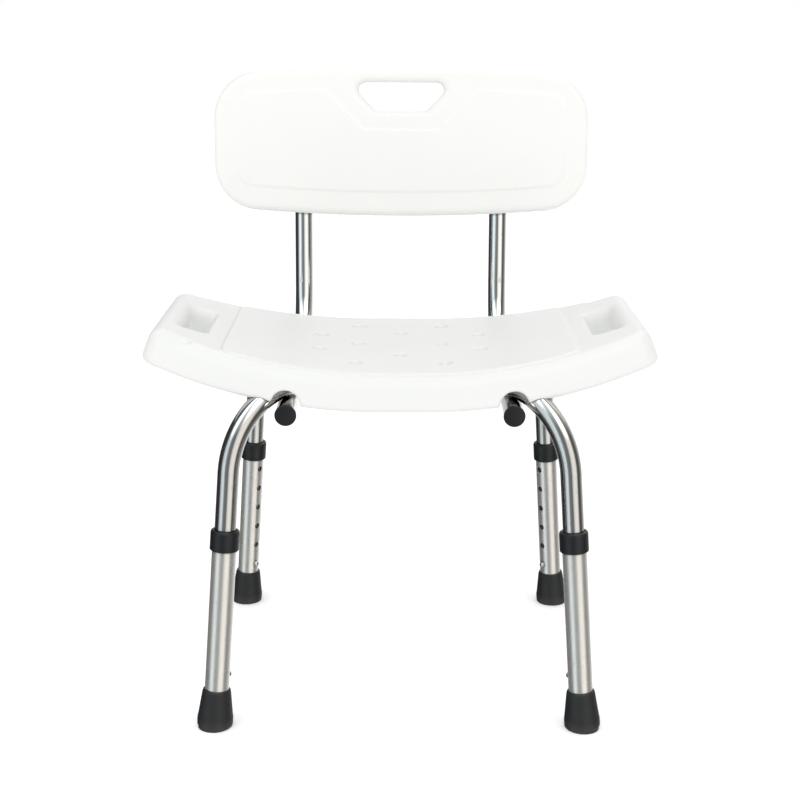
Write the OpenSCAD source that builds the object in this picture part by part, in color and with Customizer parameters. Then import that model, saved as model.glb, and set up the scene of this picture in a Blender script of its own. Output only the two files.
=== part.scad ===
// Shower chair: a moulded seat and backrest on a crossed tube frame with four
// height-adjustable legs. Origin on the floor, under the middle of the overall
// width and depth. Y to the back, Z up. Left (-X) and right (+X) are as seen from
// the front.

/* [Seat] */
// Width of the seat, end to end
seat_w = 537; // [480:2:560]
// Depth of the seat at its middle, front to back
seat_d = 306; // [290:2:320]
// Height of the seat's top face at its middle, at the lowest leg setting
seat_top = 372; // [368:1:380]
// Thickness of the seat moulding
seat_t = 36; // [34:1:40]
// Radius of the upward curve at each end of the seat
seat_curve_r = 640; // [600:5:800]
// Radius of the bowed front and back edges, seen from above
seat_bow_r = 700; // [650:10:1200]
// Height of the raised middle panel above the rest of the top face
seat_panel_h = 2.3; // [1:0.1:3]
// Length of each hand hole, front to back
hand_hole_l = 98; // [90:1:108]
// Width of each hand hole
hand_hole_w = 27; // [24:1:32]

/* [Backrest] */
// Width of the backrest
back_w = 444; // [400:2:480]
// Height of the backrest at its middle
back_h = 176; // [160:1:200]
// Thickness of the backrest moulding
back_t = 26; // [24:1:32]
// Radius of the backrest's corners
back_corner_r = 49; // [30:1:60]
// Height of the backrest's lower edge above the floor
back_z = 488; // [460:1:520]
// Backward lean of the posts and the backrest, in degrees
back_lean = 5; // [2:0.5:9]

/* [Tubes] */
// Outer diameter of the upper leg tubes
upper_d = 22.2; // [22:0.1:22.4]
// Outer diameter of the lower leg tubes
lower_d = 25.4; // [25.2:0.1:26]
// Outer diameter of the rails that carry the backrest
rail_d = 21; // [19:0.5:22]
// Wall thickness of the tubes
tube_wall = 1.3; // [1.1:0.05:1.4]
// Distance between the two rails, centre to centre
rail_spacing = 234; // [220:2:250]
// Bend radius of the legs, at the tube's centre line
leg_bend_r = 88; // [80:1:92]
// Bend radius of the rails, at the tube's centre line
rail_bend_r = 85; // [70:1:90]

/* [Legs] */
// Distance from the seat's middle to each foot, along the floor
leg_reach = 261; // [252:1:275]
// Direction of the legs from the seat's middle, in degrees off the width
leg_turn = 42; // [40:0.5:45]
// Inward lean of the legs, in degrees
leg_lean = 5.3; // [4:0.1:6.5]
// Number of height settings
hole_count = 6; // [3:1:6]
// Distance between height settings, along the leg
hole_pitch = 25.4; // [20:0.1:25.4]
// Height of the lowest setting above the floor, along the leg
hole_low = 55; // [52:1:60]

/* [Hidden] */

$fn = 48;
eps = 0.01;

// The seat's middle lies in front of the middle of the overall depth.
seat_y = -16;

// Seat shape
seat_flat = 27;              // half width of the level middle
seat_corner_r = 14;
seat_top_roll = 14;
seat_low_roll = 6;
seat_end_roll = 12;
seat_end_low_roll = 8;
seat_step = 18;
seat_end_turn = asin((seat_w / 2 - 11.4 - seat_flat) / seat_curve_r);
seat_end_grow = 3;           // extra thickness at each end
seat_end = seat_flat + seat_curve_r * seat_end_turn * PI / 180;   // half length of the curve
panel_half_w = 188;
panel_margin = 15;
panel_corner_r = 12;
panel_root = 3;              // depth of the panel's foot in the seat
hand_hole_u = 222;
hand_hole_corner = 9;
hand_hole_flare = 9;
hand_hole_out = 12;          // flare on the outer side
hand_hole_flare_h = 15;      // depth of the flared mouth
hand_hole_under = 12;        // flare under the seat, and its depth
rail_groove_r = 15;
channel_gap = 0.9;           // round the crossing leg tubes
channel_turn = 60;
scoop_r = 8;
scoop_in = 44.5;             // where the scoop begins, in from the seat's end
scoop_y = 107;
scoop_z = 34.5;              // start of its axis above the seat's middle
scoop_l = 60;
scoop_turn = 78;             // its axis, off the vertical

// Frame heights
upper_r = upper_d / 2;
rail_r = rail_d / 2;
lower_r = lower_d / 2;
bore_r = upper_r - tube_wall;
cross_z = seat_top - 18;     // centre line of the crossing leg tubes
cross_gap = 1;               // leg tube above rail: the tube's bend begins there and dips
rail_z = cross_z - upper_r - rail_r - cross_gap;
rail_x = rail_spacing / 2;
rail_front = 143;
bolt_reach = rail_x / cos(leg_turn);
bolt_y = bolt_reach * sin(leg_turn);

// Leg bend: the tube turns from level to the leg's lean
leg_bend_turn = 90 - leg_lean;
leg_corner = leg_reach - cross_z * tan(leg_lean);
bend_setback = leg_bend_r * tan(leg_bend_turn / 2);
bend_start = leg_corner - bend_setback;

// Heights along a leg, measured from the floor
leg_len = cross_z / cos(leg_lean);
bend_end = leg_len - bend_setback;
upper_low_end = 40;
collar_low = 193.5;
collar_h = 22;
lower_low_end = 8;
lower_top_end = collar_low + 19;
foot_h = 42;
washer_t = 1.5;
running_gap = 0.15;
sleeve_gap = 0.3;

// Crossing of the two leg tubes: each is pressed in to half its height
press_half = 16;
press_gap = 0.1;
rivet_r = 3;
band = 1;                    // half length of the mark where a tube's bend begins
band_h = 0.05;

// Rails and backrest
rail_bend_turn = 90 - back_lean;
rail_bend_y = 108;
post_foot_y = rail_bend_y + rail_bend_r * sin(rail_bend_turn);
post_foot_z = rail_z + rail_bend_r * (1 - cos(rail_bend_turn));
back_low = (back_z - post_foot_z) / cos(back_lean);   // lower edge, up along the posts
post_l = back_low + 146;
back_face = 22;              // front face ahead of the post's centre line
back_edge_r = 9;
back_bow_r = 2200;
back_panel_h = 1.5;
handle_low = back_low + 124;
handle_h = 34;
handle_top_half = 52;
handle_low_half = 31;
screw_heights = [back_low + 36, back_low + 112];

// Fasteners
bolt_r = 3;
screw_r = 2.5;
insert_l = 9;
hole_r = 3.4;
button_r = 3.1;
button_out = 4.4;
seat_gap = 0.03;             // between a push-on piece and its tube
saddle_gap = 0.1;            // between a saddle washer and its tube

white = [0.95, 0.96, 0.95];
silver = [0.74, 0.74, 0.75];
black = [0.1, 0.1, 0.11];
brass = [0.78, 0.66, 0.36];

// ---- places -------------------------------------------------------------

// Moves a shape from the seat's middle to the chair's own origin.
module on_chair() translate([0, seat_y, 0]) children();

// Legs: front left, front right, rear left, rear right.
leg_angle = [180 + leg_turn, -leg_turn, 180 - leg_turn, leg_turn];

// A leg's own frame: Z up the leg from the floor, -X to the chair's middle.
module on_leg(i)
    on_chair()
        rotate([0, 0, leg_angle[i]])
            translate([leg_reach, 0, 0])
                rotate([0, -leg_lean, 0])
                    children();

// A post's own frame: Z up the post from the end of its bend, Y to the back.
module on_post(side)
    on_chair()
        translate([side * rail_x, post_foot_y, post_foot_z])
            rotate([-back_lean, 0, 0])
                children();

module at_bolts()
    on_chair()
        for (sx = [-1, 1], sy = [-1, 1])
            translate([sx * rail_x, sy * bolt_y, 0])
                children();

module at_back_screws()
    for (side = [-1, 1])
        on_post(side)
            for (z = screw_heights)
                translate([0, 0, z])
                    rotate([90, 0, 0])
                        children();

// ---- shared shapes --------------------------------------------------------

// Solid bent rod: starts at the origin along +X and turns down by the given angle
module bent_rod(r, bend_r, turn)
    translate([0, 0, -bend_r])
        rotate([90, 0, 0])
            rotate([0, 0, 90 - turn])
                rotate_extrude(angle = turn)
                    translate([bend_r, 0])
                        circle(r = r);

// Slight mark round a tube where its bend begins
module bend_mark(r)
    translate([0, 0, -band]) cylinder(r = r + band_h, h = 2 * band);

// Ring
module ring(r_out, r_in, h)
    difference() {
        cylinder(r = r_out, h = h);
        translate([0, 0, -1]) cylinder(r = r_in, h = h + 2);
    }

// ---- seat -------------------------------------------------------------------

// The seat's top face runs level, then along an arc. At the distance u along it:
// the turn of the face, its sideways place and its rise above the middle.
function seat_turn(u) = sign(u) * max(0, abs(u) - seat_flat) / seat_curve_r * 180 / PI;
function seat_x(u) =
    sign(u) * (min(abs(u), seat_flat) + seat_curve_r * sin(abs(seat_turn(u))));
function seat_rise(u) = seat_curve_r * (1 - cos(seat_turn(u)));

// Inset of a rounded corner: r at its end, 0 where it begins
function corner_inset(u, end, r) =
    abs(u) <= end - r ? 0
    : r - sqrt(max(0, pow(r, 2) - pow(abs(u) - end + r, 2)));

// Half depth of the bowed plan
function seat_half(u) =
    seat_d / 2 - seat_bow_r + sqrt(pow(seat_bow_r, 2) - pow(seat_x(u), 2));

// Stations along the face, closer together at the rounded ends
function stations(end, r, step) =
    let (inner = end - r, n = ceil(inner / step),
         round_end = [for (a = [24:22:90]) inner + r * sin(a)])
    concat([for (i = [len(round_end) - 1:-1:0]) -round_end[i]],
           [for (i = [-n:n]) inner * i / n],
           round_end);

// Outline of the seat's front-to-back section, with rolled edges
function seat_section(half, top, low, r_top, r_low) = concat(
    [for (a = [0:18:90]) [half - r_top + r_top * cos(a), top - r_top + r_top * sin(a)]],
    [for (a = [90:18:180]) [-half + r_top + r_top * cos(a), top - r_top + r_top * sin(a)]],
    [for (a = [180:30:270]) [-half + r_low + r_low * cos(a), low + r_low + r_low * sin(a)]],
    [for (a = [270:30:360]) [half - r_low + r_low * cos(a), low + r_low + r_low * sin(a)]]
);

// Puts a shape square to the top face, u along it
module on_face(u)
    translate([seat_x(u), 0, seat_top + seat_rise(u)])
        rotate([0, -seat_turn(u), 0])
            children();

// A point on the section at u: y across the seat, w above the top face
function face_point(u, y, w) = [
    seat_x(u) - w * sin(seat_turn(u)), y, seat_top + seat_rise(u) + w * cos(seat_turn(u))];

// Closed skin over a row of sections, each with the same number of points
module skin(sections) {
    n = len(sections[0]);
    last = len(sections) - 1;
    polyhedron(
        points = [for (section = sections) each section],
        faces = concat(
            [[for (j = [0:n - 1]) j], [for (j = [n - 1:-1:0]) last * n + j]],
            [for (i = [0:last - 1], j = [0:n - 1])
                let (a = i * n + j, b = i * n + (j + 1) % n) each [[a, a + n, b + n], [a, b + n, b]]]
        ));
}

function seat_outline(u) =
    let (drop = corner_inset(u, seat_end, seat_end_roll),
         lift = corner_inset(u, seat_end, seat_end_low_roll),
         half = seat_half(u) - corner_inset(u, seat_end, seat_corner_r),
         low = -seat_t - seat_end_grow * pow(u / seat_end, 2))
    seat_section(half, -drop, low + lift, seat_top_roll - 0.4 * drop, seat_low_roll - 0.2 * lift);

// Outline of the raised panel: its edges slope back at 45 degrees from inside the seat
function panel_outline(u) =
    let (half = seat_half(u) - panel_margin - corner_inset(u, panel_half_w, panel_corner_r))
    [[half + panel_root, -panel_root], [half - seat_panel_h, seat_panel_h],
     [-half + seat_panel_h, seat_panel_h], [-half - panel_root, -panel_root]];

module rounded_rect(w, l, r)
    translate([-w / 2, -l / 2]) union() {
        translate([r, 0]) square([w - 2 * r, l]);
        translate([0, r]) square([w, l - 2 * r]);
        for (x = [r, w - r], y = [r, l - r])
            translate([x, y]) circle(r = r, $fn = 24);
    }

// Where the drain holes stand: [x, y]
drain_places = [
    for (s = [-1, 1]) [0, s * 54],
    for (s = [-1, 1]) [s * 47, 0],
    for (sx = [-1, 1], sy = [-1, 1]) [sx * 47, sy * 90],
    for (sx = [-1, 1], sy = [-1, 1]) [sx * 88, sy * 35]
];

module drain_cuts()
    for (p = drain_places)
        on_face(p[0])
            translate([0, p[1], seat_panel_h]) {
                translate([0, 0, -seat_t - 5]) cylinder(r = 3, h = seat_t + 10, $fn = 14);
                translate([0, 0, -6]) cylinder(r1 = 3, r2 = 7.6, h = 6.4, $fn = 16);
            }

module seat_body() {
    skin([for (u = stations(seat_end, seat_corner_r, seat_step))
        [for (p = seat_outline(u)) face_point(u, p[0], p[1])]]);
    skin([for (u = stations(panel_half_w, panel_corner_r, 2 * seat_step))
        [for (p = panel_outline(u)) face_point(u, p[0], p[1])]]);
}

// Hand hole: straight through, square to the top face, flared above and below
module hand_hole_cut(side)
    on_face(side * hand_hole_u) {
        translate([0, 0, -2 * seat_t])
            linear_extrude(3 * seat_t)
                rounded_rect(hand_hole_w, hand_hole_l, hand_hole_corner);
        hull() {
            translate([0, 0, -hand_hole_flare_h])
                linear_extrude(eps)
                    rounded_rect(hand_hole_w, hand_hole_l, hand_hole_corner);
            translate([side * hand_hole_out / 2, 0, 2])
                linear_extrude(eps)
                    rounded_rect(hand_hole_w + hand_hole_out + 2,
                                 hand_hole_l + 2 * hand_hole_flare,
                                 hand_hole_corner + 3);
        }
        hull() {
            translate([0, 0, hand_hole_under - seat_t])
                linear_extrude(eps)
                    rounded_rect(hand_hole_w, hand_hole_l, hand_hole_corner);
            translate([side * hand_hole_under / 2, 0, -seat_t - 6])
                linear_extrude(eps)
                    rounded_rect(hand_hole_w + hand_hole_under + 2,
                                 hand_hole_l + 2 * hand_hole_under,
                                 hand_hole_corner + 3);
        }
    }

// Channel under the seat for one crossing tube and its bends
module leg_channel(turn, r)
    rotate([0, 0, turn]) {
        level = bend_start - band / 2;
        translate([-level, -r, cross_z - seat_t])
            cube([2 * level, 2 * r, seat_t]);
        translate([-level, 0, cross_z])
            rotate([0, 90, 0])
                cylinder(r = r, h = 2 * level);
        for (s = [0, 180])
            rotate([0, 0, s])
                translate([bend_start, 0, cross_z]) {
                    bent_rod(r, leg_bend_r, channel_turn);
                    rotate([0, 90, 0]) bend_mark(r);
                }
    }

module seat()
    color(white)
        on_chair()
            difference() {
                seat_body();
                for (side = [-1, 1]) {
                    hand_hole_cut(side);
                    // groove over the rail, open at the front and the back
                    translate([side * rail_x, -seat_d / 2 - 1, seat_top - seat_t + 6])
                        rotate([-90, 0, 0])
                            cylinder(r = rail_groove_r, h = seat_d + 2, $fn = 40);
                    // rest for a hand-held shower head, at two opposite corners
                    translate([side * (seat_w / 2 - scoop_in), side * scoop_y,
                               seat_top + scoop_z]) {
                        sphere(r = scoop_r + 0.1);
                        rotate([0, side * scoop_turn, 0])
                            cylinder(r = scoop_r, h = scoop_l);
                    }
                }
                leg_channel(leg_turn, upper_r + channel_gap);
                leg_channel(-leg_turn, upper_r + channel_gap + 0.1);
                drain_cuts();
                for (sx = [-1, 1], sy = [-1, 1])
                    translate([sx * rail_x, sy * bolt_y, cross_z])
                        cylinder(r = 4.5, h = upper_r + 1 + insert_l + 0.1, $fn = 32);
                // room for the rivet's head
                translate([0, 0, cross_z]) cylinder(r = 8, h = upper_r + 3, $fn = 24);
            }

module seat_inserts()
    color(brass)
        at_bolts()
            translate([0, 0, cross_z + upper_r + 1])
                ring(4.45, bolt_r + 0.05, insert_l);

// ---- backrest ---------------------------------------------------------------

// Disc with rolled edges, standing in the backrest's plane
module back_disc(r)
    rotate([90, 0, 0])
        translate([0, 0, back_face - back_t])
            rotate_extrude($fn = 48)
                polygon(concat(
                    [[0, 0]],
                    [for (a = [-90:18:0]) [r - back_edge_r + back_edge_r * cos(a),
                                           back_edge_r + back_edge_r * sin(a)]],
                    [for (a = [0:18:90]) [r - back_edge_r + back_edge_r * cos(a),
                                          back_t - back_edge_r + back_edge_r * sin(a)]],
                    [[0, back_t]]));

function back_bow(x) = back_bow_r - sqrt(pow(back_bow_r, 2) - pow(x, 2));

module back_body()
    hull()
        for (x = [-1, -0.66, -0.33, 0, 0.33, 0.66, 1] * (back_w / 2 - back_corner_r))
            for (up = [0, 1]) {
                drop = back_bow(x) + back_corner_r;
                translate([x, 0, up ? back_low + back_h - drop : back_low + drop])
                    back_disc(back_corner_r);
            }

module handle_outline(grow)
    hull() {
        for (s = [-1, 1]) {
            translate([s * (handle_top_half - 9), handle_h - 9])
                circle(r = 9 + grow, $fn = 32);
            translate([s * (handle_low_half - 1), 2])
                circle(r = 2 + grow, $fn = 24);
        }
    }

// Outline of the raised panel: it goes round the handle
module back_panel_outline()
    difference() {
        intersection() {
            translate([0, back_h / 2])
                rounded_rect(back_w - 50, back_h - 54, 22);
            translate([0, back_h - back_bow_r - 27]) circle(r = back_bow_r, $fn = 360);
            translate([0, back_bow_r + 27]) circle(r = back_bow_r, $fn = 360);
        }
        polygon([[-96, back_h], [-89, back_h - 26], [-43, back_h - 72],
                 [43, back_h - 72], [89, back_h - 26], [96, back_h]]);
    }

module backrest()
    color(white)
        on_chair()
            translate([0, post_foot_y, post_foot_z])
                rotate([-back_lean, 0, 0])
                    difference() {
                        union() {
                            back_body();
                            translate([0, -back_face + 1, back_low])
                                rotate([90, 0, 0])
                                    linear_extrude(1 + back_panel_h)
                                        back_panel_outline();
                        }
                        // handle, with eased edges front and back
                        translate([0, back_t, handle_low])
                            rotate([90, 0, 0])
                                linear_extrude(3 * back_t) handle_outline(0);
                        for (y = [-back_face, back_t - back_face])
                            translate([0, y, handle_low])
                                rotate([90, 0, 0])
                                    hull() {
                                        translate([0, 0, -5]) linear_extrude(eps)
                                            handle_outline(y < 0 ? 0 : 5);
                                        translate([0, 0, 5]) linear_extrude(eps)
                                            handle_outline(y < 0 ? 5 : 0);
                                    }
                        // channels for the posts, open at the back
                        for (side = [-1, 1])
                            translate([side * rail_x, 0, back_low - 1]) {
                                cylinder(r = rail_r + 0.3, h = post_l - back_low + 6);
                                translate([-rail_r - 0.3, 0, 0])
                                    cube([rail_d + 0.6, back_t, post_l - back_low + 6]);
                            }
                        for (side = [-1, 1], z = screw_heights)
                            translate([side * rail_x, 0, z])
                                rotate([90, 0, 0])
                                    cylinder(r = 4, h = rail_r + 0.3 + 7.6, $fn = 32);
                    }

module backrest_inserts()
    color(brass)
        at_back_screws()
            translate([0, 0, rail_r + 0.5])
                ring(3.8, screw_r + 0.05, 7);

// ---- rails and posts ----------------------------------------------------------

// Solid rod along a rail and its post, longer by extra at both ends
module rail_rod(side, r, extra) {
    on_chair()
        translate([side * rail_x, 0, rail_z]) {
            translate([0, -rail_front - extra, 0])
                rotate([-90, 0, 0])
                    cylinder(r = r, h = rail_front + extra + rail_bend_y - band / 2);
            translate([0, rail_bend_y, 0]) {
                rotate([180, 0, 90]) bent_rod(r, rail_bend_r, rail_bend_turn);
                rotate([90, 0, 0]) bend_mark(r);
            }
        }
    on_post(side) {
        translate([0, 0, band / 2]) cylinder(r = r, h = post_l - band / 2 + extra);
        bend_mark(r);
    }
}

module back_rail(side)
    color(silver)
        difference() {
            rail_rod(side, rail_r, 0);
            rail_rod(side, rail_r - tube_wall, 1);
            on_chair()
                for (s = [-1, 1])
                    translate([side * rail_x, s * bolt_y, rail_z - rail_d])
                        cylinder(r = bolt_r + 0.3, h = 2 * rail_d);
            on_post(side)
                for (z = screw_heights)
                    translate([0, rail_d, z])
                        rotate([90, 0, 0])
                            cylinder(r = screw_r + 0.3, h = 2 * rail_d);
        }

// Plug with a flange, pushed into a tube's end: the tube lies along -Z
module tube_plug(flange_r) {
    rotate_extrude()
        polygon([[0, -12], [rail_r - tube_wall - 0.6, -12], [rail_r - tube_wall - 0.1, -10],
                 [rail_r - tube_wall - 0.1, 0], [flange_r, 0], [flange_r, 1.6],
                 [flange_r - 1.2, 2.8], [0, 3]]);
}

module rail_plug(side)
    color(black)
        on_chair()
            translate([side * rail_x, -rail_front, rail_z])
                rotate([90, 0, 0])
                    tube_plug(rail_r + 0.8);

module post_plug(side)
    color(black)
        on_post(side)
            translate([0, 0, post_l])
                tube_plug(rail_r);

// ---- leg frame ------------------------------------------------------------------

// Solid rod along a whole leg tube: one leg, the crossing run and the opposite leg
module leg_rod(r, extra) {
    level = bend_start - band / 2;
    translate([-level, 0, cross_z])
        rotate([0, 90, 0])
            cylinder(r = r, h = 2 * level);
    for (s = [0, 180])
        rotate([0, 0, s]) {
            translate([bend_start, 0, cross_z]) {
                bent_rod(r, leg_bend_r, leg_bend_turn);
                rotate([0, 90, 0]) bend_mark(r);
            }
            translate([leg_reach, 0, 0])
                rotate([0, -leg_lean, 0]) {
                    translate([0, 0, upper_low_end - extra])
                        cylinder(r = r, h = bend_end - band / 2 - upper_low_end + extra);
                    translate([0, 0, bend_end]) bend_mark(r);
                }
        }
}

// Half of the tube's height, at the crossing: up is 1 to take the lower half away
module press_wedge(up, wall)
    translate([0, 0, cross_z])
        rotate([up > 0 ? 90 : -90, 0, 0])
            linear_extrude(3 * upper_d, center = true)
                polygon([[-press_half, press_gap + wall], [press_half, press_gap + wall],
                         [press_half + upper_d, press_gap + wall - upper_d],
                         [-press_half - upper_d, press_gap + wall - upper_d]]);

module leg_frame(turn, up)
    color(silver)
        on_chair()
            rotate([0, 0, turn])
                difference() {
                    leg_rod(upper_r, 0);
                    press_wedge(up, 0);
                    difference() {
                        leg_rod(bore_r, 1);
                        press_wedge(up, tube_wall);
                    }
                    translate([0, 0, cross_z - 20]) cylinder(r = rivet_r + 0.1, h = 40);
                    for (s = [0, 180])
                        rotate([0, 0, s]) {
                            translate([bolt_reach, 0, cross_z - 20])
                                cylinder(r = bolt_r + 0.3, h = 40);
                            // hole for the snap button, on the side of the chair's middle
                            translate([leg_reach, 0, 0])
                                rotate([0, -leg_lean, 0])
                                    translate([0, 0, hole_low])
                                        rotate([0, -90, 0])
                                            cylinder(r = hole_r, h = 20);
                        }
                }

module cross_rivet()
    color(silver)
        on_chair()
            translate([0, 0, cross_z]) {
                grip = upper_r + 0.1;
                translate([0, 0, -grip]) cylinder(r = rivet_r, h = 2 * grip);
                for (s = [0, 180])
                    rotate([s, 0, 0])
                        translate([0, 0, grip])
                            intersection() {
                                cylinder(r = 6, h = 2);
                                translate([0, 0, -8]) sphere(r = 10);
                            }
            }

// ---- bolts ------------------------------------------------------------------------

// Saddle washer: its hollow face fits a tube of radius r lying along Y
module saddle_washer(r, size, h, bore)
    difference() {
        cylinder(r = size, h = h);
        translate([0, 0, -1]) cylinder(r = bore, h = h + 2);
        translate([0, -2 * size, r + h - 1.6])
            rotate([-90, 0, 0])
                cylinder(r = r + saddle_gap, h = 4 * size);
    }

module pan_screw(r, head_r, head_h, l) {
    cylinder(r = r, h = l);
    translate([0, 0, -head_h])
        difference() {
            intersection() {
                cylinder(r = head_r, h = head_h);
                translate([0, 0, head_r * 1.5]) sphere(r = head_r * 1.6);
            }
            translate([0, 0, -1])
                linear_extrude(head_h * 0.55 + 1)
                    for (a = [0, 90]) rotate(a) square([head_r, head_r * 0.22], center = true);
        }
}

module seat_bolts()
    color(silver)
        at_bolts()
            translate([0, 0, rail_z - rail_r - 2.4])
                pan_screw(bolt_r, 6, 3.6, cross_z + upper_r + insert_l - (rail_z - rail_r - 2.4));

module seat_saddle_washers()
    color(black)
        at_bolts()
            translate([0, 0, rail_z - rail_r - 2.4])
                saddle_washer(rail_r, 8.5, 4, bolt_r + 0.2);

module backrest_screws()
    color(silver)
        at_back_screws()
            translate([0, 0, -rail_r - 2.4])
                pan_screw(screw_r, 5, 3, rail_d + 2.4 + 0.5 + 6);

module backrest_saddle_washers()
    color(black)
        for (side = [-1, 1])
            on_post(side)
                for (z = screw_heights)
                    translate([0, rail_r + 2.4, z])
                        rotate([90, 0, 0])
                            saddle_washer(rail_r, 7, 4, screw_r + 0.2);

// ---- legs ---------------------------------------------------------------------------

module lower_leg(i)
    color(silver)
        on_leg(i)
            difference() {
                translate([0, 0, lower_low_end])
                    ring(lower_r, upper_r + sleeve_gap, lower_top_end - lower_low_end);
                for (k = [0:hole_count - 1])
                    translate([0, 0, hole_low + k * hole_pitch])
                        rotate([0, -90, 0])
                            cylinder(r = hole_r, h = 20);
            }

module leg_collar(i)
    color(black)
        on_leg(i)
            translate([0, 0, collar_low])
                rotate_extrude() {
                    inner = upper_r + running_gap;
                    seat_h = lower_top_end - collar_low;
                    outer = 15.1;
                    polygon([[lower_r + seat_gap, 0], [outer - 0.8, 0], [outer, 0.8],
                             [outer, collar_h - 2.6], [outer - 0.5, collar_h - 1.4],
                             [outer - 1.3, collar_h - 0.5], [outer - 2.3, collar_h],
                             [inner + 0.5, collar_h], [inner, collar_h - 0.5],
                             [inner, seat_h], [lower_r + seat_gap, seat_h]]);
                }

// Snap clip: a bent leaf spring inside the upper tube, with its button
module snap_clip(i)
    color(silver)
        on_leg(i) {
            leaf = 0.8;
            wide = bore_r - 0.9;
            top = 98;
            pad = hole_low + 8;
            rotate([90, 0, 0])
                linear_extrude(8, center = true)
                    polygon([
                        [-wide, hole_low - 8], [-wide, pad], [-2.6, top - 2.6], [-1.2, top],
                        [1.2, top], [2.6, top - 2.6], [wide, pad], [wide, hole_low - 5],
                        [wide - leaf, hole_low - 5], [wide - leaf, pad],
                        [1.8, top - 2.8], [0.8, top - leaf], [-0.8, top - leaf],
                        [-1.8, top - 2.8], [-wide + leaf, pad], [-wide + leaf, hole_low - 8]]);
            translate([0, 0, hole_low])
                rotate([0, -90, 0])
                    intersection() {
                        translate([0, 0, wide - leaf])
                            cylinder(r = button_r, h = lower_r + button_out - wide + leaf);
                        translate([0, 0, lower_r + button_out - 4.2]) {
                            sphere(r = 4.2);
                            translate([0, 0, -20]) cylinder(r = 4.2, h = 20);
                        }
                    }
        }

// Foot: tapered rubber cup, cut level at the floor
module foot(i)
    color(black)
        difference() {
            on_leg(i)
                rotate_extrude()
                    polygon([[0, -6], [18, -6], [18, 0.4], [18.7, 2], [18.9, 6], [18.8, 11],
                             [18.2, 14], [15.2, 38], [14.6, 40.5], [13.6, foot_h],
                             [lower_r + seat_gap, foot_h], [lower_r + seat_gap, lower_low_end - washer_t],
                             [0, lower_low_end - washer_t]]);
            translate([-500, -500, -40]) cube([1000, 1000, 40]);
        }

module tip_washer(i)
    color(silver)
        on_leg(i)
            translate([0, 0, lower_low_end - washer_t])
                ring(lower_r - 0.2, 4, washer_t);

// ---- nodes ----------------------------------------------------------------------------

seat();
backrest();
seat_inserts();
backrest_inserts();
back_rail(-1);  // back_rail_left
back_rail(1);  // back_rail_right
rail_plug(-1);  // rail_plug_left
rail_plug(1);  // rail_plug_right
post_plug(-1);  // post_plug_left
post_plug(1);  // post_plug_right
leg_frame(leg_turn, 1);  // leg_frame_a
leg_frame(-leg_turn, -1);  // leg_frame_b
cross_rivet();
seat_bolts();
seat_saddle_washers();
backrest_screws();
backrest_saddle_washers();
lower_leg(0);  // lower_leg_fl
lower_leg(1);  // lower_leg_fr
lower_leg(2);  // lower_leg_rl
lower_leg(3);  // lower_leg_rr
leg_collar(0);  // leg_collar_fl
leg_collar(1);  // leg_collar_fr
leg_collar(2);  // leg_collar_rl
leg_collar(3);  // leg_collar_rr
snap_clip(0);  // snap_clip_fl
snap_clip(1);  // snap_clip_fr
snap_clip(2);  // snap_clip_rl
snap_clip(3);  // snap_clip_rr
foot(0);  // foot_fl
foot(1);  // foot_fr
foot(2);  // foot_rl
foot(3);  // foot_rr
tip_washer(0);  // tip_washer_fl
tip_washer(1);  // tip_washer_fr
tip_washer(2);  // tip_washer_rl
tip_washer(3);  // tip_washer_rr
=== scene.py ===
"""Looks of the shower chair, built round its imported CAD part.

The seat and the backrest are moulded shapes: each is a solid described by a distance field,
turned into a smooth mesh. Turned pieces (feet, collars, plugs, buttons) are lathed with
eased edges. The tubes and the fasteners keep their CAD meshes. Modelling lengths are in
millimetres, and meshes are written in metres in the part's frame: X to the right, Y to the
back, Z up.
"""

import math

import bpy
import numpy as np
from mathutils import Matrix, Vector


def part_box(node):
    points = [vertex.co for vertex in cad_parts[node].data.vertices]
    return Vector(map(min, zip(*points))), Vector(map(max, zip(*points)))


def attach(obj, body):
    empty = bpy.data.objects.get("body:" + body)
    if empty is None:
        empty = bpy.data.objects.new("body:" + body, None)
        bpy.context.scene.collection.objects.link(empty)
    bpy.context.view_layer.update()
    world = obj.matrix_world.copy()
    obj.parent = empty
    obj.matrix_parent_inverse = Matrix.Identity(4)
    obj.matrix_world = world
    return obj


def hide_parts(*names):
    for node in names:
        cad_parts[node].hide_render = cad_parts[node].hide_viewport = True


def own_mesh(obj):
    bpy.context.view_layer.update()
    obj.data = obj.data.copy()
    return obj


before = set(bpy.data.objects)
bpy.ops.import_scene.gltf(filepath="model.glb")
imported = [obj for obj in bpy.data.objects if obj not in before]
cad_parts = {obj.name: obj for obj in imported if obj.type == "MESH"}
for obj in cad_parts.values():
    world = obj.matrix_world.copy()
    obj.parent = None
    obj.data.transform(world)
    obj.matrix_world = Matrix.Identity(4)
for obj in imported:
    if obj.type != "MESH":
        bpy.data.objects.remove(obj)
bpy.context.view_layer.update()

MM = 0.001


def node_mm(node):
    """Lowest and highest corner of a CAD node, in millimetres."""
    low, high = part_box(node)
    return np.array(low) / MM, np.array(high) / MM


# ---- driving dimensions, in millimetres and degrees -------------------------------------

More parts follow.
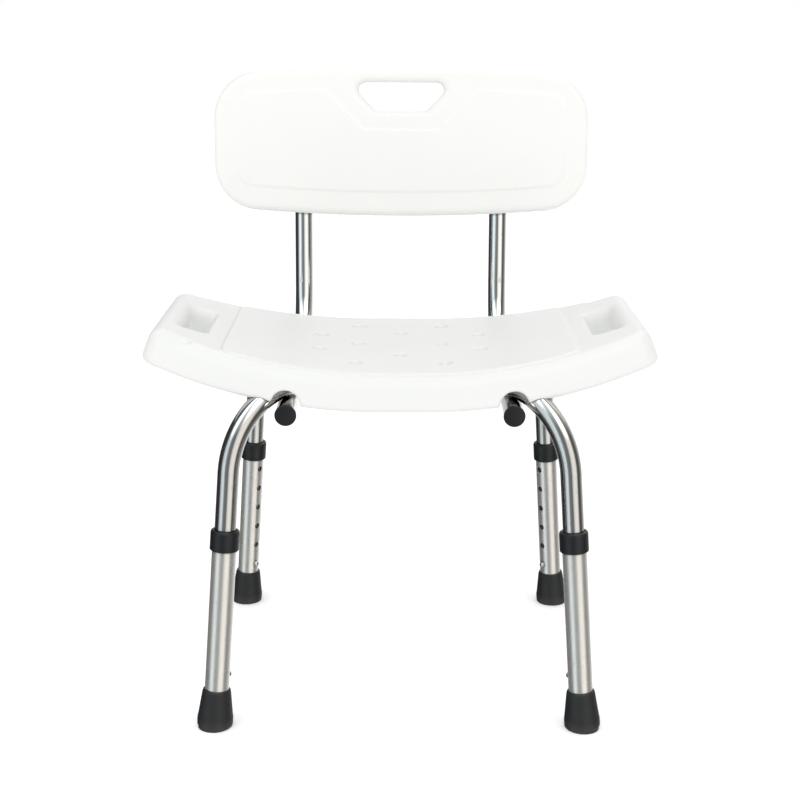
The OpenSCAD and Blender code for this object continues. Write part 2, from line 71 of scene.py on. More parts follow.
seat_low, seat_high = node_mm("seat")
SEAT_W = seat_high[0] - seat_low[0]
SEAT_D = seat_high[1] - seat_low[1]
SEAT_Y = (seat_low[1] + seat_high[1]) / 2
SEAT_TOP = 372.0
SEAT_T = 36.0
SEAT_CURVE_R = 640.0
SEAT_BOW_R = 700.0
SEAT_FLAT = 27.0            # half width of the level middle
SEAT_END_REACH = 11.4       # how far the tilted end stands out past its top face
SEAT_TURN = math.asin((SEAT_W / 2 - SEAT_END_REACH - SEAT_FLAT) / SEAT_CURVE_R)
SEAT_END = SEAT_FLAT + SEAT_CURVE_R * SEAT_TURN
SEAT_END_GROW = 3.0         # extra thickness at each end
SEAT_CORNER_R = 14.0
SEAT_TOP_ROLL = 13.5
SEAT_LOW_ROLL = 6.5
PANEL_HALF_W = 188.0
PANEL_MARGIN = 15.0
PANEL_CORNER_R = 12.0
PANEL_H = 2.3
HAND_HOLE_U = 222.0
RAIL_GROOVE_R = 15.0
RAIL_GROOVE_UP = 6.0
CHANNEL_GAP = 0.9           # round the crossing leg tubes

UPPER_R = 11.1
LOWER_R = 12.7
RAIL_R = 10.5
TUBE_WALL = 1.3
PUSH_GAP = 0.03             # between a push-on piece and its tube
RAIL_X = 117.0
CROSS_Z = SEAT_TOP - 18     # centre line of the crossing leg tubes
CROSS_GAP = 1.0             # leg tube above rail
LEG_BEND_R = 88.0
LEG_REACH = 261.0
LEG_TURN = 42.0
LEG_LEAN = 5.3
HOLE_LOW = 55.0
COLLAR_LOW = 193.5
FOOT_H = 42.0

BACK_W = 444.0
BACK_H = 176.0
BACK_T = 26.0
BACK_LEAN = 5.0
BACK_FACE = 22.0            # front face ahead of the post's centre line
BACK_BOW_R = 2200.0
BACK_CORNER_R = 49.0
BACK_EDGE_R = 9.0
HANDLE_UP = 124.0           # lower edge of the handle above that of the backrest
HANDLE_H = 33.0
RAIL_BEND_R = 85.0
RAIL_BEND_Y = 108.0
RAIL_Z = CROSS_Z - UPPER_R - RAIL_R - CROSS_GAP
POST_TURN = math.radians(90 - BACK_LEAN)
POST_FOOT_Y = RAIL_BEND_Y + RAIL_BEND_R * math.sin(POST_TURN)
POST_FOOT_Z = RAIL_Z + RAIL_BEND_R * (1 - math.cos(POST_TURN))
BACK_Z = 488.0              # lower edge of the backrest above the floor
BACK_LOW = (BACK_Z - POST_FOOT_Z) / math.cos(math.radians(BACK_LEAN))
POST_CHANNEL_TOP = 230.0

CORNERS = {"fl": 180 + LEG_TURN, "fr": -LEG_TURN, "rl": 180 - LEG_TURN, "rr": LEG_TURN}
SIDES = ("left", "right")

PANEL_ROOT = 3.0            # depth of a raised panel's foot in its moulding
MESH_STEP = 1.5             # grid of the moulded meshes
FAR = 1e6                   # further than anything on the chair


# ---- distance fields ----------------------------------------------------------------------

def smooth_max(a, b, ease):
    """The larger of a and b, eased over this range where they are nearly equal."""
    blend = np.maximum(ease - np.abs(a - b), 0) / ease
    return np.maximum(a, b) + blend * blend * ease / 4


def cut(solid, hole, ease):
    """The solid with the hole taken out, its rim eased."""
    return smooth_max(solid, -hole, ease)


def join(a, b, ease):
    """Both solids as one, the corner between them eased."""
    return -smooth_max(-a, -b, ease)


def rounded(a, b, radius):
    """Where both a and b are negative, with an edge of this radius."""
    corner = np.hypot(np.maximum(a + radius, 0), np.maximum(b + radius, 0))
    return corner + np.minimum(np.maximum(a + radius, b + radius), 0) - radius


def flare(depth, reach):
    """From 0 at this reach below the face to 1 at the face, as a quarter circle."""
    share = np.clip(1 - depth / reach, 0, 1)
    return 1 - np.sqrt(1 - share * share)


def surface_net(values, axes):
    """Points and four-sided faces of the surface where a grid of field values is zero."""
    inside = values < 0
    shape = np.array(values.shape) - 1
    strides = np.array((shape[1] * shape[2], shape[2], 1))
    quads, points = [], []
    for axis in range(3):
        low = [slice(None)] * 3
        high = [slice(None)] * 3
        low[axis] = slice(0, -1)
        high[axis] = slice(1, None)
        low, high = tuple(low), tuple(high)
        at = np.argwhere(inside[low] != inside[high])
        before = values[low][tuple(at.T)]
        after = values[high][tuple(at.T)]
        point = np.stack([axes[d][at[:, d]] for d in range(3)], 1)
        step = axes[axis][at[:, axis] + 1] - axes[axis][at[:, axis]]
        point[:, axis] += step * before / (before - after)
        u, v = (axis + 1) % 3, (axis + 2) % 3
        cell = at @ strides
        ring = [cell, cell - strides[u], cell - strides[u] - strides[v], cell - strides[v]]
        quad = np.stack(ring, 1)
        quad[before > 0] = quad[before > 0][:, ::-1]
        quads.append(quad)
        points.append(point)
    quads = np.concatenate(quads)
    points = np.concatenate(points)
    cells = int(shape.prod())
    owner = quads.ravel()
    count = np.bincount(owner, minlength=cells)
    used = np.flatnonzero(count)
    number = np.zeros(cells, int)
    number[used] = np.arange(len(used))
    sums = [np.bincount(owner, np.repeat(points[:, d], 4), cells)[used] for d in range(3)]
    return np.stack(sums, 1) / count[used][:, None], number[quads]


def settle(points, field, rounds=3, reach=0.6):
    """Moves points onto the field's zero surface, by no more than reach in each round."""
    h = 0.05                    # half the distance over which a slope is taken
    least_slope = 0.2
    for _ in range(rounds):
        value = field(*points.T)
        slope = []
        for d in range(3):
            shift = np.zeros(3)
            shift[d] = h
            slope.append((field(*(points + shift).T) - field(*(points - shift).T)) / (2 * h))
        slope = np.stack(slope, 1)
        move = -value[:, None] * slope / np.maximum((slope ** 2).sum(1), least_slope)[:, None]
        length = np.linalg.norm(move, axis=1)[:, None]
        points = points + move * np.minimum(1, reach / np.maximum(length, 1e-9))
    return points


def moulding(field, low, high, step):
    """Mesh of a field inside a box, in the field's own coordinates."""
    offset = 0.37 * step    # keeps grid points off the flat faces
    axes = [np.arange(a - offset, b + step, step) for a, b in zip(low, high)]
    values = field(axes[0][:, None, None], axes[1][None, :, None], axes[2][None, None, :])
    points, quads = surface_net(values, axes)
    return settle(points, field), quads


# ---- pieces -------------------------------------------------------------------------------

def add_piece(name, points, faces, material, body, replaces=()):
    """A smooth mesh of points in millimetres that rides a body and stands for CAD nodes."""
    mesh = bpy.data.meshes.new(name)
    mesh.from_pydata((np.asarray(points) * MM).tolist(), [], [list(f) for f in faces])
    mesh.polygons.foreach_set("use_smooth", [True] * len(mesh.polygons))
    mesh.materials.append(material)
    piece = bpy.data.objects.new(name, mesh)
    bpy.context.scene.collection.objects.link(piece)
    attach(piece, body)
    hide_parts(*replaces)
    return piece


def place(points, matrix):
    """Points moved by a rigid matrix."""
    turned = np.asarray(points) @ np.array(matrix.to_3x3()).T
    return turned + np.array(matrix.translation)


def leg_place(corner):
    """A leg's own frame: Z up the leg from the floor, -X to the chair's middle."""
    turn = Matrix.Rotation(math.radians(CORNERS[corner]), 4, "Z")
    lean = Matrix.Rotation(math.radians(-LEG_LEAN), 4, "Y")
    chair = Matrix.Translation((0, SEAT_Y, 0))
    return chair @ turn @ Matrix.Translation((LEG_REACH, 0, 0)) @ lean


def back_place():
    """The backrest's frame: X across, Y to the back, Z up the posts from their feet."""
    foot = Matrix.Translation((0, SEAT_Y + POST_FOOT_Y, POST_FOOT_Z))
    return foot @ Matrix.Rotation(math.radians(-BACK_LEAN), 4, "X")


def eased(outline, radius, steps=5):
    """An open outline with its inner corners rounded to this radius, or as much as fits."""
    path = [np.array(outline[0], float)]
    for before, corner, after in zip(outline, outline[1:], outline[2:]):
        corner = np.array(corner, float)
        a = np.array(before, float) - corner
        b = np.array(after, float) - corner
        la, lb = np.linalg.norm(a), np.linalg.norm(b)
        a, b = a / la, b / lb
        half = math.acos(np.clip(a @ b, -1, 1)) / 2
        back = min(radius / math.tan(half), 0.45 * la, 0.45 * lb)
        for i in range(steps + 1):
            t = i / steps
            path.append(corner + back * (a * (1 - t) ** 2 + b * t ** 2))
    path.append(np.array(outline[-1], float))
    return path


def lathe(outline, sides=72):
    """Points and faces of an outline of (radius, height) turned about Z."""
    points, faces, rings = [], [], []
    for radius, height in outline:
        count = 1 if radius < 1e-6 else sides
        rings.append((len(points), count))
        for i in range(count):
            angle = 2 * math.pi * i / sides
            points.append((radius * math.cos(angle), radius * math.sin(angle), height))
    for (a, na), (b, nb) in zip(rings, rings[1:]):
        for i in range(sides):
            k = (i + 1) % sides
            face = [a + i % na, a + k % na, b + k % nb, b + i % nb]
            faces.append(list(dict.fromkeys(face)))
    return np.array(points), faces


# ---- seat -----------------------------------------------------------------------------------

def seat_turn(u):
    """How far the seat's face has turned up at u, in radians."""
    return np.sign(u) * np.maximum(0, np.abs(u) - SEAT_FLAT) / SEAT_CURVE_R


def seat_point(u, v, w):
    """The place of a point u along the seat's face, v to the back and w above the face."""
    turn = seat_turn(u)
    x = np.sign(u) * np.minimum(np.abs(u), SEAT_FLAT) + SEAT_CURVE_R * np.sin(turn)
    z = SEAT_TOP + SEAT_CURVE_R * (1 - np.cos(turn))
    return x - w * np.sin(turn), v + 0 * w, z + w * np.cos(turn)


def seat_half(u):
    """Half the seat's depth at u: its front and rear edges are bowed."""
    x = SEAT_FLAT + SEAT_CURVE_R * np.sin(np.abs(seat_turn(u)))
    x = np.where(np.abs(u) < SEAT_FLAT, np.abs(u), x)
    return SEAT_D / 2 - SEAT_BOW_R + np.sqrt(SEAT_BOW_R ** 2 - x ** 2)


def seat_plan(u, v, half_w, margin, corner_r):
    """Distance outside the seat's bowed outline, drawn in by a margin."""
    return rounded(np.abs(u) - half_w, np.abs(v) - seat_half(u) + margin, corner_r)


def drain_holes(u, v, w):
    """Twelve countersunk holes, mirrored from four places."""
    places = [(0, 54), (47, 0), (47, 90), (88, 35)]
    hole_r, rim_r, slope = 3, 8.1, 0.78
    apart = FAR
    for pu, pv in places:
        apart = np.minimum(apart, np.hypot(np.abs(u) - pu, np.abs(v) - pv))
    depth = PANEL_H - w
    sink = (apart - rim_r + np.clip(depth, -2, 9) * slope) * 0.79
    return join(apart - hole_r, sink, 1.2)


def hand_hole(u, v, w):
    """Hand hole, flared above and below: steep on the inner side, soft on the outer."""
    half_w, half_l, forward, corner_r = 13.5, 50.5, 1.5, 9
    mouth = flare(-w, 15)
    under = flare(w + SEAT_T + 2, 18)
    out = np.abs(u) - HAND_HOLE_U
    outer = out - half_w - 13 * mouth - 12 * under
    inner = -half_w - 1.5 * mouth - out
    along = np.abs(v + forward) - half_l - 9 * mouth - 12 * under
    return rounded(np.maximum(outer, inner), along, corner_r)


def scoops(u, v, w):
    """Rests for a hand-held shower head: short troughs in two opposite corners of the rim."""
    start, middle, radius = 224, 109, 8
    reach = np.where(v < 0, -u, u) - start
    along = np.clip(reach, 0, 80)
    across = np.abs(v) - middle + 0.09 * along
    lift = w - 4 + 0.15 * along
    return np.sqrt(np.minimum(reach, 0) ** 2 + across ** 2 + lift ** 2) - radius


def leg_channels(x, y, z):
    """Channels under the seat for the crossing tubes and the start of their bends."""
    bend_setback = LEG_BEND_R * math.tan(math.radians(90 - LEG_LEAN) / 2)
    bend_start = LEG_REACH - CROSS_Z * math.tan(math.radians(LEG_LEAN)) - bend_setback
    channels = FAR
    for side in (-1, 1):
        c, s = math.cos(math.radians(LEG_TURN)), side * math.sin(math.radians(LEG_TURN))
        along = np.abs(x * c + y * s)
        across = y * c - x * s
        past = np.clip(along - bend_start, 0, LEG_BEND_R)
        drop = LEG_BEND_R - np.sqrt(LEG_BEND_R ** 2 - past ** 2)
        up = np.maximum(z - CROSS_Z + drop, 0)
        tube = np.maximum(np.hypot(across, up), along - bend_start - LEG_BEND_R)
        tube = tube - UPPER_R - CHANNEL_GAP
        channels = np.minimum(channels, tube)
    return channels


def seat_field(u, v, w):
    """The whole seat, in coordinates along and above its curved face."""
    x, y, z = seat_point(u, v, w)
    plan = seat_plan(u, v, SEAT_END, 0, SEAT_CORNER_R)
    solid = rounded(plan, w, SEAT_TOP_ROLL)
    thick = SEAT_T + SEAT_END_GROW * (u / SEAT_END) ** 2
    solid = rounded(solid, -thick - w, SEAT_LOW_ROLL)
    # raised panel with sloping edges
    panel = (seat_plan(u, v, PANEL_HALF_W, PANEL_MARGIN, PANEL_CORNER_R) + 0.7 * w) * 0.82
    panel = smooth_max(panel, w - PANEL_H, 0.5)
    solid = join(solid, np.maximum(panel, -PANEL_ROOT - w), 0.4)
    solid = cut(solid, hand_hole(u, v, w), 2.0)
    solid = cut(solid, drain_holes(u, v, w), 0.8)
    groove = np.hypot(np.abs(x) - RAIL_X, z - SEAT_TOP + SEAT_T - RAIL_GROOVE_UP)
    groove = groove - RAIL_GROOVE_R
    solid = cut(solid, groove, 3.0)
    solid = cut(solid, scoops(u, v, w), 1.5)
    return cut(solid, leg_channels(x, y, z), 1.5)


def make_seat(material):
    reach = (SEAT_END + 4, SEAT_D / 2 + 4)
    points, quads = moulding(
        seat_field, (-reach[0], -reach[1], -SEAT_T - 7), (reach[0], reach[1], 5), MESH_STEP)
    x, y, z = seat_point(*points.T)
    points = np.stack([x, y + SEAT_Y, z], 1)
    add_piece("seat_moulding", points, quads, material, "frame", ["seat"])


# ---- backrest -------------------------------------------------------------------------------

def handle(x, z):
    """Outline of the handle opening: wide at the top, with rounded corners."""
    low_half, top_half, slope = 30, 52, 0.98
    up = z - BACK_LOW - HANDLE_UP
    side = (np.abs(x) - low_half - np.clip(up, -9, 23) * slope) / math.hypot(1, slope)
    side = smooth_max(side, (np.abs(x) - top_half) * 0.9, 6)
    return rounded(rounded(side, up - HANDLE_H, 8), -up, 2.5)


def back_field(x, y, z):
    """The whole backrest, in its own frame."""
    bow = BACK_BOW_R - np.sqrt(BACK_BOW_R ** 2 - x ** 2)
    mid = np.abs(z - BACK_LOW - BACK_H / 2)
    plan = rounded(np.abs(x) - BACK_W / 2, mid - BACK_H / 2 + bow, BACK_CORNER_R)
    front, rear = -y - BACK_FACE, y + BACK_FACE - BACK_T
    solid = rounded(rounded(plan, front, BACK_EDGE_R), rear, BACK_EDGE_R)
    # raised panel, which goes round the handle
    margin, corner_r, height = 25, 22, 1.5
    notch_h, notch_half = 72, 43
    up = z - BACK_LOW - BACK_H + notch_h
    notch = smooth_max(-up, (np.abs(x) - notch_half - np.clip(up, -5, 80)) * 0.7, 4)
    panel_mid = np.abs(z - BACK_LOW - BACK_H / 2 - 2)
    panel = rounded(
        np.abs(x) - BACK_W / 2 + margin, panel_mid - BACK_H / 2 + margin + bow, corner_r)
    panel = smooth_max(panel, -notch, 3)
    panel = (panel + front + 1) * 0.7
    panel = smooth_max(panel, front - height, 0.8)
    solid = join(solid, np.maximum(panel, -front - PANEL_ROOT), 0.5)
    # handle, with eased edges front and back
    mouth = flare(-front, 9) * 8 + flare(-rear, 6) * 5
    solid = cut(solid, np.maximum(handle(x, z) - mouth, -60.0), 1.0)
    # channels for the posts, open at the back
    channel = np.hypot(np.abs(x) - RAIL_X, np.minimum(y, 0)) - RAIL_R - 0.3
    channel = np.maximum(channel, z - POST_CHANNEL_TOP)
    return cut(solid, channel, 1.0)


def make_backrest(material):
    low = (-BACK_W / 2 - 4, -BACK_FACE - 5, BACK_LOW - 4)
    high = (BACK_W / 2 + 4, BACK_T - BACK_FACE + 4, BACK_LOW + BACK_H + 4)
    points, quads = moulding(back_field, low, high, MESH_STEP)
    points = place(points, back_place())
    add_piece("backrest_moulding", points, quads, material, "frame", ["backrest"])


# ---- turned pieces ----------------------------------------------------------------------------

def make_foot(corner, material):
    """Rubber tip: a tapered cup, cut level at the floor."""
    wall = LOWER_R + PUSH_GAP
    outline = eased([(0, -6), (17.2, -6), (17.3, 0.6), (18.7, 2.6), (18.9, 6), (18.8, 11),
                     (18.2, 14), (15.2, 38), (14.6, 40.6), (13.6, FOOT_H), (wall, FOOT_H),
                     (wall, 6.5), (0, 6.5)], 1.2)
    points, faces = lathe(outline)
    points = place(points, leg_place(corner))
    points[:, 2] = np.maximum(points[:, 2], 0)
    name = "foot_" + corner
    add_piece("rubber_" + name, points, faces, material, "leg_" + corner, [name])


def make_collar(corner, material):
    """Collar at the top of a lower leg, pushed on as far as its inner step."""
    inner, wall = UPPER_R + 0.15, LOWER_R + PUSH_GAP
    outline = eased([(wall, 0), (14.2, 0), (15.1, 0.9), (15.1, 19.2), (14.5, 21), (13, 22),
                     (inner + 0.6, 22), (inner, 21.3), (inner, 19), (wall, 19), (wall, 0)], 0.9)
    points, faces = lathe(outline)
    points = place(points + np.array((0, 0, COLLAR_LOW)), leg_place(corner))
    name = "leg_collar_" + corner
    add_piece("moulded_" + name, points, faces, material, "leg_" + corner, [name])


def plug_outline(flange_r):
    """Half outline of a tube plug whose flange stands on the tube's end."""
    bore = RAIL_R - TUBE_WALL
    return eased([(0, -12), (bore - 0.7, -12), (bore - 0.1, -10.4), (bore - 0.1, 0),
                  (flange_r - 0.2, 0), (flange_r, 0.9), (flange_r - 0.5, 2.4), (0, 3.1)], 0.8)


def make_rail_plug(side, material):
    """The plug in a rail's front end."""
    low, high = node_mm("rail_plug_" + side)
    turn = Matrix.Rotation(math.radians(90), 4, "X")
    mid = (low + high) / 2
    place_at = Matrix.Translation((mid[0], low[1] + 3, mid[2])) @ turn
    points, faces = lathe(plug_outline(RAIL_R + 0.8))
    name = "rail_plug_" + side
    points = place(points, place_at)
    add_piece("moulded_" + name, points, faces, material, "frame", [name])


def make_snap_clip(corner, material):
    """Leaf spring inside the upper tube, with its domed button through the adjustment hole."""
    bore = UPPER_R - TUBE_WALL
    wide, top, pad = bore - 1.3, 98, HOLE_LOW + 8
    centre = eased([(-wide, HOLE_LOW - 8), (-wide, pad), (-1.2, top), (1.2, top), (wide, pad),
                    (wide, HOLE_LOW - 5)], 3.0)
    leaf, half = 0.4, 4.0
    points, faces = [], []
    for i, p in enumerate(centre):
        ahead = centre[min(i + 1, len(centre) - 1)] - centre[max(i - 1, 0)]
        normal = np.array((-ahead[1], ahead[0])) / np.linalg.norm(ahead) * leaf
        for y, side in ((-half, 1), (half, 1), (half, -1), (-half, -1)):
            points.append((p[0] + side * normal[0], y, p[1] + side * normal[1]))
    for i in range(len(centre) - 1):
        for k in range(4):
            n = (k + 1) % 4
            faces.append((4 * i + k, 4 * i + n, 4 * i + 4 + n, 4 * i + 4 + k))
    faces.append((3, 2, 1, 0))
    faces.append(tuple(range(len(points) - 4, len(points))))
    reach, button_r, dome_h = LOWER_R + 4.4, 3.1, 1.9
    dome = [(button_r * math.cos(a), reach - dome_h + dome_h * math.sin(a))
            for a in np.linspace(0, math.pi / 2, 7)]
    button, rings = lathe([(button_r, wide - 0.2)] + dome, 32)
    turn = Matrix.Translation((0, 0, HOLE_LOW)) @ Matrix.Rotation(math.radians(-90), 4, "Y")
    rings = [[v + len(points) for v in f] for f in rings]
    points = np.concatenate([np.array(points), place(button, turn)])
    place_at = leg_place(corner)
    points = place(points, place_at)
    name = "snap_clip_" + corner
    piece = add_piece(
        "spring_" + name, points, faces + rings, material, "frame", [name])
    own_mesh(piece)


# ---- materials ----------------------------------------------------------------------------------

def add_node(tree, kind, inputs=(), **settings):
    """A new shader node. Inputs are joined to sockets or set to plain values."""
    node = tree.nodes.new(kind)
    for key, value in settings.items():
        setattr(node, key, value)
    for key, value in dict(inputs).items():
        if isinstance(value, bpy.types.NodeSocket):
            tree.links.new(value, node.inputs[key])
        else:
            node.inputs[key].default_value = value
    return node


def new_material(name):
    material = bpy.data.materials.new(name)
    material.use_nodes = True
    return material, material.node_tree


def surface(tree, **inputs):
    """Sets the Principled shader's inputs, by name with underscores for spaces."""
    shader = tree.nodes["Principled BSDF"]
    for key, value in inputs.items():
        socket = shader.inputs[key.replace("_", " ")]
        if isinstance(value, bpy.types.NodeSocket):
            tree.links.new(value, socket)
        else:
            socket.default_value = value


def stretched(tree, scale):
    """Object coordinates in metres, stretched by a scale along each axis."""
    where = add_node(tree, "ShaderNodeTexCoord").outputs["Object"]
    return add_node(tree, "ShaderNodeMapping", {"Vector": where, "Scale": scale}).outputs[0]


def noise(tree, scale, detail=3.0, stretch=(1, 1, 1)):
    inputs = {"Vector": stretched(tree, stretch), "Scale": scale, "Detail": detail}
    return add_node(tree, "ShaderNodeTexNoise", inputs).outputs["Fac"]


def spread(tree, value, low, high, to_low=0.0, to_high=1.0):
    """Turns the range low to high of a value into another range."""
    inputs = {"Value": value, "From Min": low, "From Max": high,
              "To Min": to_low, "To Max": to_high}
    return add_node(tree, "ShaderNodeMapRange", inputs).outputs[0]


def mixed(tree, share, a, b):
    """Colour between a and b."""
    node = add_node(tree, "ShaderNodeMix", data_type="RGBA")
    for index, value in ((0, share), (6, a), (7, b)):
        if isinstance(value, bpy.types.NodeSocket):
            tree.links.new(value, node.inputs[index])
        elif index:
            node.inputs[index].default_value = (*value, 1)
        else:
            node.inputs[index].default_value = value
    return node.outputs[2]


def bumped(tree, height, strength, distance, under=None):
    inputs = {"Height": height, "Strength": strength, "Distance": distance}
    if under is not None:
        inputs["Normal"] = under
    return add_node(tree, "ShaderNodeBump", inputs).outputs[0]


def white_plastic(name, tint):
    """Blow-moulded polyethylene: fine grain, a soft unevenness and a few faint scuffs."""
    material, tree = new_material(name)
    cloud = noise(tree, 9, 2)
    grain = noise(tree, 900, 2)
    ripple = noise(tree, 45, 2)
    scuffs = spread(tree, noise(tree, 240, 6, (1, 0.2, 1)), 0.66, 0.74)
    colour = mixed(tree, spread(tree, cloud, 0.35, 0.65), tint, [c * 0.99 for c in tint])
    colour = mixed(tree, spread(tree, scuffs, 0, 1, 0, 0.3), colour, [c * 0.93 for c in tint])
    rough = spread(tree, grain, 0.3, 0.7, 0.36, 0.5)
    normal = bumped(tree, ripple, 0.25, 0.0004)
    normal = bumped(tree, grain, 0.3, 0.00008, normal)
    surface(tree, Base_Color=colour, Roughness=rough, Normal=normal, Specular_IOR_Level=0.35)
    return material


def black_plastic():
    """Injection-moulded cap plastic with a faint grain."""
    material, tree = new_material("black_cap_plastic")
    grain = noise(tree, 700, 3)
    colour = mixed(tree, noise(tree, 60, 2), (0.006, 0.008, 0.009), (0.011, 0.013, 0.015))
    rough = spread(tree, grain, 0.3, 0.7, 0.34, 0.46)
    normal = bumped(tree, grain, 0.25, 0.0001)
    surface(tree, Base_Color=colour, Roughness=rough, Normal=normal, Specular_IOR_Level=0.35)
    return material


def rubber():
    """Black rubber, dusty near the floor."""
    material, tree = new_material("tip_rubber")
    where = add_node(tree, "ShaderNodeTexCoord").outputs["Object"]
    height = add_node(tree, "ShaderNodeSeparateXYZ", {"Vector": where}).outputs["Z"]
    mottle = noise(tree, 260, 5)
    dust = add_node(tree, "ShaderNodeMath", {0: spread(tree, height, 0.012, 0.0), 1: mottle},
                    operation="MULTIPLY").outputs[0]
    base = mixed(tree, mottle, (0.007, 0.008, 0.009), (0.013, 0.014, 0.016))
    colour = mixed(tree, spread(tree, dust, 0, 1, 0, 0.5), base, (0.11, 0.105, 0.1))
    rough = spread(tree, mottle, 0.3, 0.7, 0.5, 0.66)
    surface(tree, Base_Color=colour, Roughness=rough, Normal=bumped(tree, mottle, 0.3, 0.00025))
    return material


PAINTED_SHADE = (0.012, 0.012, 0.012)   # dark colour painted as shade into holes and narrow gaps


def metal(name, tint, gloss, streaks, haze, bare=1.0):
    """Drawn tube: streaks along its length, hazy patches, fine scratches and shade painted into
    holes and narrow gaps.

    gloss is the roughness at its lowest and highest; streaks and haze are bump strengths;
    bare is the share of clean metal, the rest being a thin pale oxide.
    """
    material, tree = new_material(name)
    drawn = noise(tree, 900, 4, (1, 1, 0.02))
    patches = noise(tree, 55, 4)
    scratches = spread(tree, noise(tree, 420, 2, (1, 1, 0.35)), 0.66, 0.72)
    rough = spread(tree, patches, 0.3, 0.7, *gloss)
    scuffed = spread(tree, scratches, 0, 1, 0, 0.12)
    rough = add_node(tree, "ShaderNodeMath", {0: rough, 1: scuffed}, operation="ADD").outputs[0]
    colour = mixed(tree, drawn, tint, [c * 0.9 for c in tint])
    colour = mixed(tree, spread(tree, scratches, 0, 1, 0, 0.35), colour, [c * 0.6 for c in tint])
    # painted shade: the colour darkens where ambient occlusion finds holes and narrow gaps
    open_sky = add_node(tree, "ShaderNodeAmbientOcclusion", {"Distance": 0.005}, samples=8)
    colour = mixed(tree, spread(tree, open_sky.outputs["AO"], 0.35, 0.9), PAINTED_SHADE, colour)
    normal = bumped(tree, patches, haze, 0.0006)
    normal = bumped(tree, drawn, streaks, 0.00006, normal)
    surface(tree, Base_Color=colour, Metallic=bare, Roughness=rough, Normal=normal)
    return material


def paint_nodes(prefixes, material):
    """Gives every CAD node whose name starts so its material."""
    for name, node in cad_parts.items():
        if name.startswith(prefixes):
            node.data.materials.clear()
            node.data.materials.append(material)


# ---- studio ---------------------------------------------------------------------------------------

def make_floor():
    """A wide pale floor that reflections don't show."""
    size = 60.0
    corners = [(-size, -size, 0), (size, -size, 0), (size, size, 0), (-size, size, 0)]
    mesh = bpy.data.meshes.new("floor")
    mesh.from_pydata(corners, [], [(0, 1, 2, 3)])
    material, tree = new_material("pale_floor")
    colour = mixed(tree, noise(tree, 3, 3), (0.92, 0.92, 0.92), (0.95, 0.95, 0.95))
    surface(tree, Base_Color=colour, Roughness=0.9, Specular_IOR_Level=0.0,
            Emission_Color=(1, 1, 1, 1), Emission_Strength=0.2)
    mesh.materials.append(material)
    floor = bpy.data.objects.new("floor", mesh)
    bpy.context.scene.collection.objects.link(floor)
    floor.visible_glossy = False


# The studio as glossy surfaces show it: brightness by direction, in degrees round from the
# front, with two soft boxes at the front and a pale backdrop behind. It is brighter overhead.
LEVEL = 1.25
OVERHEAD = 3.0
OVERHEAD_FROM = (0.45, 0.85)    # sines of the heights where it starts and is full
STUDIO = [
    (-180, (0.85, 0.85, 0.85)), (-150, (0.05, 0.05, 0.05)), (-110, (0.03, 0.03, 0.035)),
    (-80, (0.05, 0.055, 0.06)), (-66, (0.6, 0.68, 0.71)), (-44, (0.88, 0.97, 1.0)),
    (-27, (0.2, 0.22, 0.23)), (2, (0.16, 0.16, 0.16)), (11, (0.7, 0.68, 0.64)),
    (26, (1.0, 0.98, 0.94)), (52, (0.98, 0.95, 0.9)), (67, (0.1, 0.1, 0.09)),
    (92, (0.1, 0.1, 0.1)), (120, (0.4, 0.4, 0.4)), (150, (0.85, 0.85, 0.85)),
    (180, (0.85, 0.85, 0.85))]


def make_world():
    """Soft white light all round, which glossy surfaces see as the studio."""
    world = bpy.data.worlds.new("studio")
    bpy.context.scene.world = world
    world.use_nodes = True
    tree = world.node_tree
    where = add_node(tree, "ShaderNodeTexCoord").outputs["Generated"]
    parts = add_node(tree, "ShaderNodeSeparateXYZ", {"Vector": where}).outputs
    back = add_node(tree, "ShaderNodeMath", {0: parts["Y"], 1: -1.0}, operation="MULTIPLY")
    round_at = add_node(tree, "ShaderNodeMath", {0: parts["X"], 1: back.outputs[0]},
                        operation="ARCTAN2").outputs[0]
    ramp = add_node(tree, "ShaderNodeValToRGB",
                    {"Fac": spread(tree, round_at, -math.pi, math.pi)})
    stops = ramp.color_ramp.elements
    for angle, colour in STUDIO[1:-1]:
        stops.new((angle + 180) / 360)
    for stop, (angle, colour) in zip(stops, STUDIO):
        stop.position = (angle + 180) / 360
        stop.color = (*colour, 1)
    strength = spread(tree, parts["Z"], *OVERHEAD_FROM, LEVEL, LEVEL * (1 + OVERHEAD))
    shown = add_node(tree, "ShaderNodeBackground",
                     {"Color": ramp.outputs[0], "Strength": strength})
    soft = tree.nodes["Background"]
    soft.inputs["Color"].default_value = (1, 1, 1, 1)
    soft.inputs["Strength"].default_value = 1.0
    glossy = add_node(tree, "ShaderNodeLightPath").outputs["Is Glossy Ray"]
    both = add_node(tree, "ShaderNodeMixShader", {0: glossy, 1: soft.outputs[0],
                                                  2: shown.outputs[0]})
    tree.links.new(both.outputs[0], tree.nodes["World Output"].inputs["Surface"])


LAMP_SIZE = 1.4
LAMP_TARGET = (0, 0, 0.35)


def make_lamp(name, place_at, watts):
    """A square soft box turned to the chair, left out of reflections."""
    light = bpy.data.lights.new(name, "AREA")
    light.shape = "RECTANGLE"
    light.size, light.size_y = LAMP_SIZE, LAMP_SIZE
    light.energy = watts
    lamp = bpy.data.objects.new(name, light)
    bpy.context.scene.collection.objects.link(lamp)
    lamp.location = place_at
    towards = Vector(LAMP_TARGET) - Vector(place_at)
    lamp.rotation_euler = towards.to_track_quat("-Z", "Y").to_euler()
    lamp.visible_glossy = False


CAMERA_AT = (0, -1.6832, 0.7539)
CAMERA_DOWN, CAMERA_ROLL = 14.91, 0.25
CAMERA_SENSOR, CAMERA_LENS = 36, 69.7


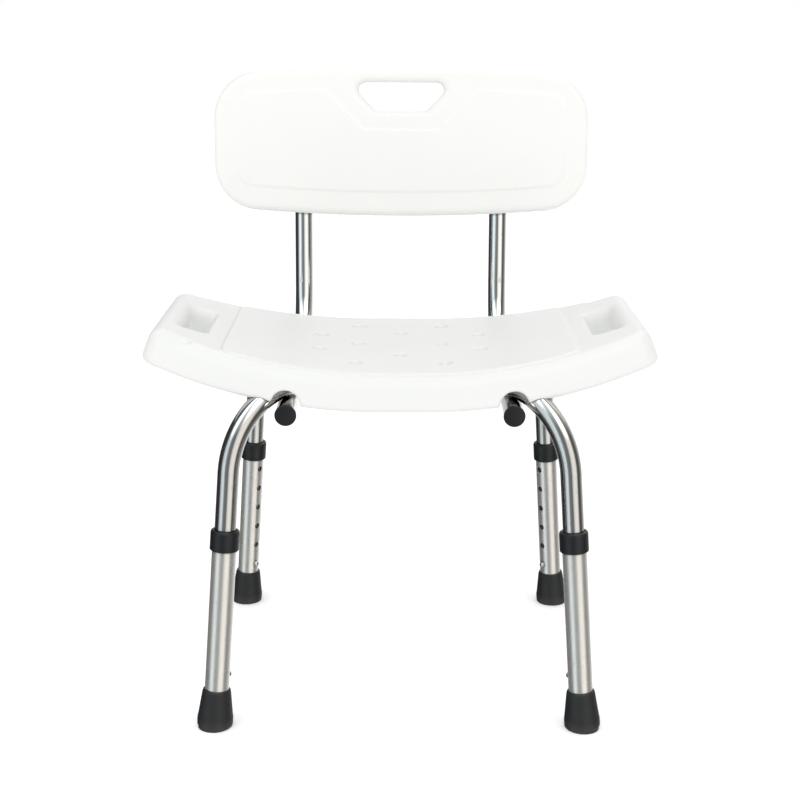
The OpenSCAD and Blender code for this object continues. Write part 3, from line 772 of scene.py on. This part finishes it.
def make_camera():
    """Standing in front of the chair at its middle, looking down at it."""
    data = bpy.data.cameras.new("camera")
    data.sensor_width = CAMERA_SENSOR
    data.lens = CAMERA_LENS
    camera = bpy.data.objects.new("camera", data)
    bpy.context.scene.collection.objects.link(camera)
    turn = Matrix.Rotation(math.radians(90 - CAMERA_DOWN), 4, "X")
    roll = Matrix.Rotation(math.radians(CAMERA_ROLL), 4, "Z")
    camera.matrix_world = Matrix.Translation(CAMERA_AT) @ turn @ roll
    bpy.context.scene.camera = camera


# ---- the chair ------------------------------------------------------------------------------------

seat_white = white_plastic("seat_plastic", (0.735, 0.743, 0.73))
back_white = white_plastic("backrest_plastic", (0.79, 0.794, 0.772))
cap_black = black_plastic()
tip_black = rubber()
mirror = metal("mirror_tube", (0.86, 0.86, 0.85), (0.06, 0.11), 0.1, 0.01)
polished = metal("polished_tube", (0.64, 0.635, 0.62), (0.09, 0.16), 0.2, 0.02)
satin = metal("satin_tube", (0.76, 0.745, 0.71), (0.25, 0.33), 0.2, 0.02, 0.8)
steel = metal("button_steel", (0.72, 0.72, 0.71), (0.16, 0.24), 0.1, 0.1)
zinc = metal("zinc_hardware", (0.62, 0.63, 0.65), (0.28, 0.42), 0.3, 0.3)
brass = metal("insert_brass", (0.72, 0.55, 0.26), (0.25, 0.38), 0.3, 0.2)

make_seat(seat_white)
make_backrest(back_white)
for corner in CORNERS:
    make_foot(corner, tip_black)
    make_collar(corner, cap_black)
    make_snap_clip(corner, steel)
for side in SIDES:
    make_rail_plug(side, cap_black)

paint_nodes(("back_rail",), mirror)
paint_nodes(("leg_frame",), polished)
paint_nodes(("lower_leg",), satin)
paint_nodes(("post_plug", "seat_saddle", "backrest_saddle"), cap_black)
paint_nodes(("seat_bolts", "backrest_screws", "cross_rivet", "tip_washer"), zinc)
paint_nodes(("seat_inserts", "backrest_inserts"), brass)

make_floor()
make_world()
make_lamp("front_left_box", (-1.5, -1.9, 1.9), 11.5)
make_lamp("front_right_box", (1.6, -1.8, 2.0), 11)
make_camera()
bpy.context.scene.view_settings.view_transform = "Standard"
